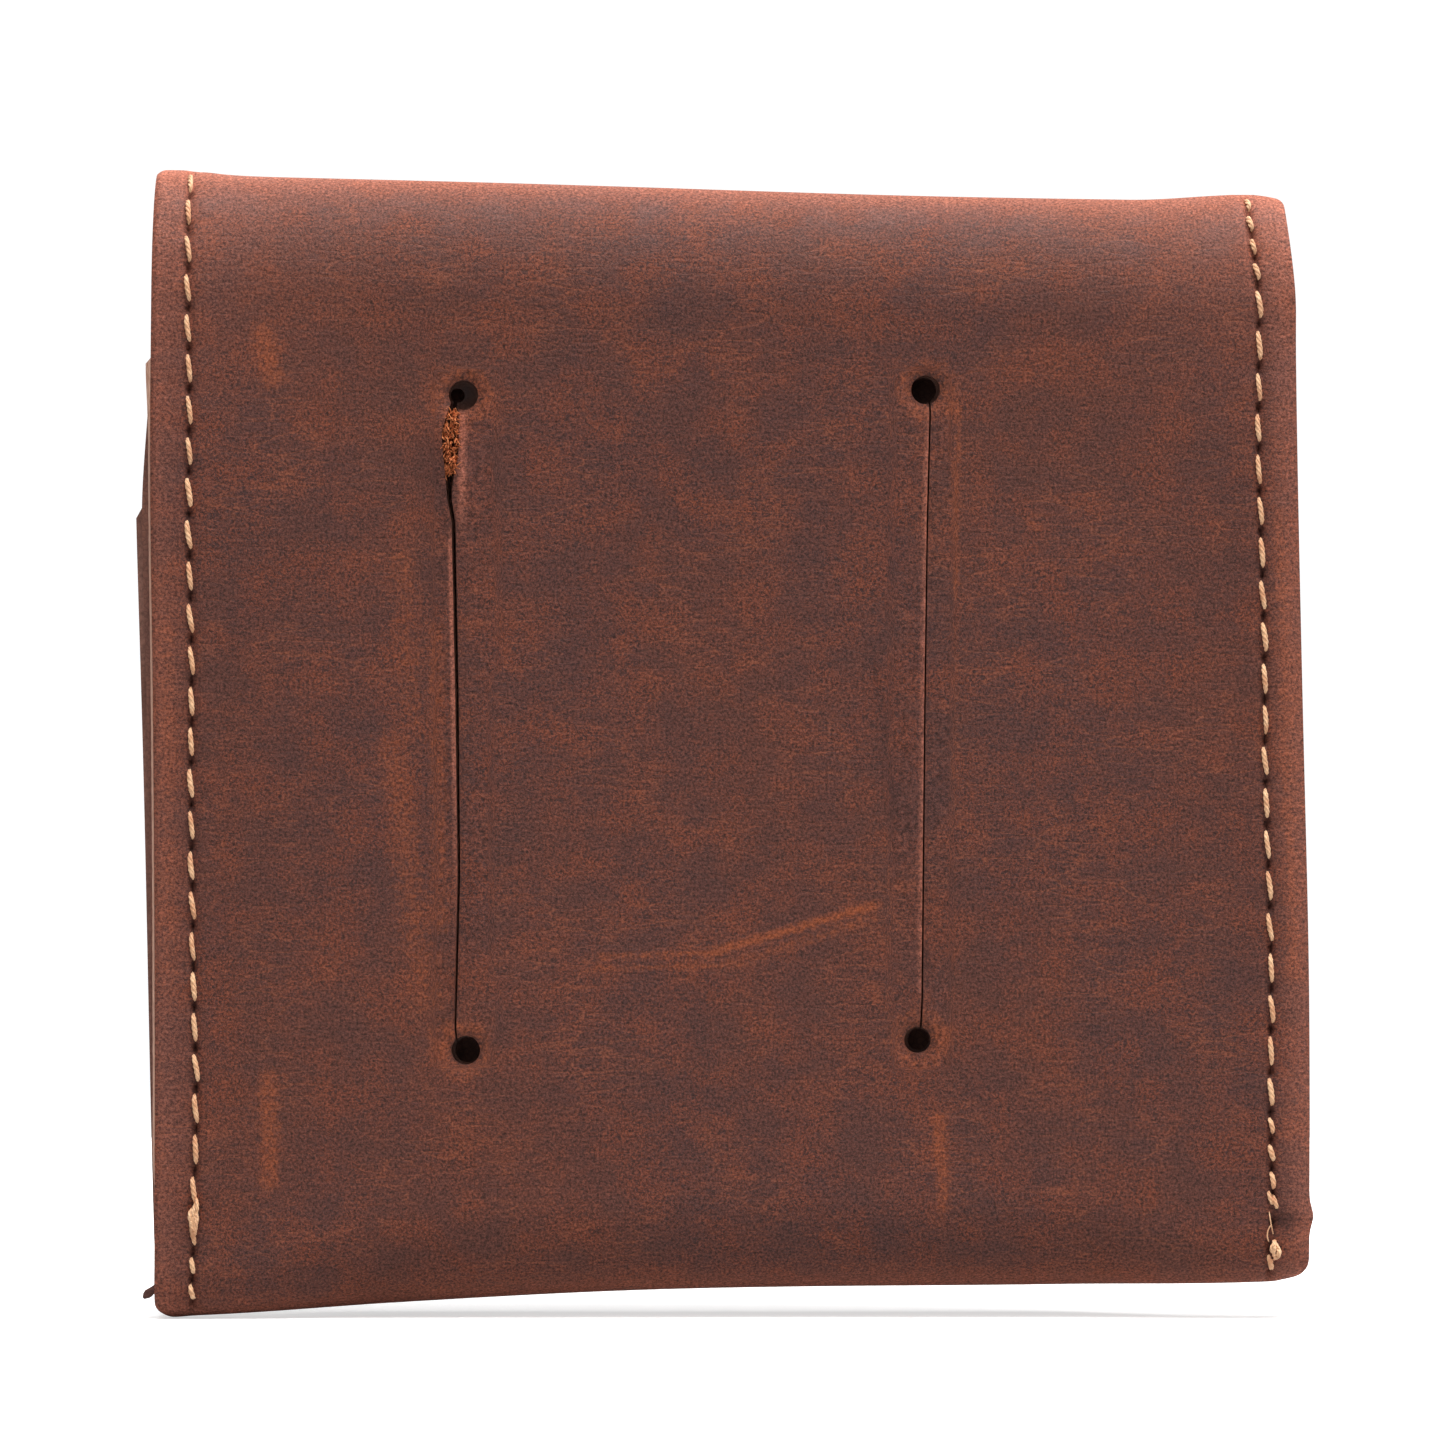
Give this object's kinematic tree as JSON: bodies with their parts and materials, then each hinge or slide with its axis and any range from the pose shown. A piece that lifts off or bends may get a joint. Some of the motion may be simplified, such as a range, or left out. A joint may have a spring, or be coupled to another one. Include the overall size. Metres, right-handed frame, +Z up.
{
  "type": "card holder",
  "caption": "Folded leather card holder with a snap flap, an inner card pocket, stitched sides and belt slits through its back.",
  "frame": {"origin": "middle of the underside of the whole holder, standing on its bottom fold", "axes": "+Z up towards the top fold, -Y out of the back with the belt slits, +Y out of the front with the flap, +X to the right as seen from behind"},
  "size_m": [0.1015, 0.015, 0.0998],
  "materials": {
    "outer_leather": "waxed pull-up leather, satin, lighter where it is bent or scuffed",
    "lining_leather": "thin matt lining leather",
    "pocket_leather": "matt, with a pale raw edge",
    "thread": "twisted waxed thread, soft sheen",
    "brass": "antique brass, brushed by wear"
  },
  "bodies": {
    "case": {"outer_shell": "outer_leather", "back_lining": "lining_leather", "divider": "pocket_leather", "card_pocket": "pocket_leather", "left_seam_thread": "thread", "right_seam_thread": "thread", "left_bobbin_thread": "thread", "right_bobbin_thread": "thread", "snap_stud": "brass", "snap_post": "brass"},
    "fold": {"top_fold": "outer_leather", "fold_lining": "lining_leather"},
    "flap": {"flap_leather": "outer_leather", "flap_lining": "lining_leather", "flap_left_thread": "thread", "flap_right_thread": "thread", "snap_cap": "brass", "snap_socket": "brass"}
  },
  "joints": [
    {"name": "fold_opening", "type": "hinge", "parent": "case", "child": "fold", "pos_m": [0.00075, -0.00546, 0.09656], "axis": [0.9997, 0, -0.024], "range_deg": [0, 90]},
    {"name": "flap_opening", "type": "hinge", "parent": "fold", "child": "flap", "pos_m": [0.00075, 0.00436, 0.09656], "axis": [0.9997, 0, -0.024], "range_deg": [0, 90]}
  ],
  "couplings": [
    {"joint": "flap_opening", "follows": "fold_opening", "ratio": 1}
  ]
}
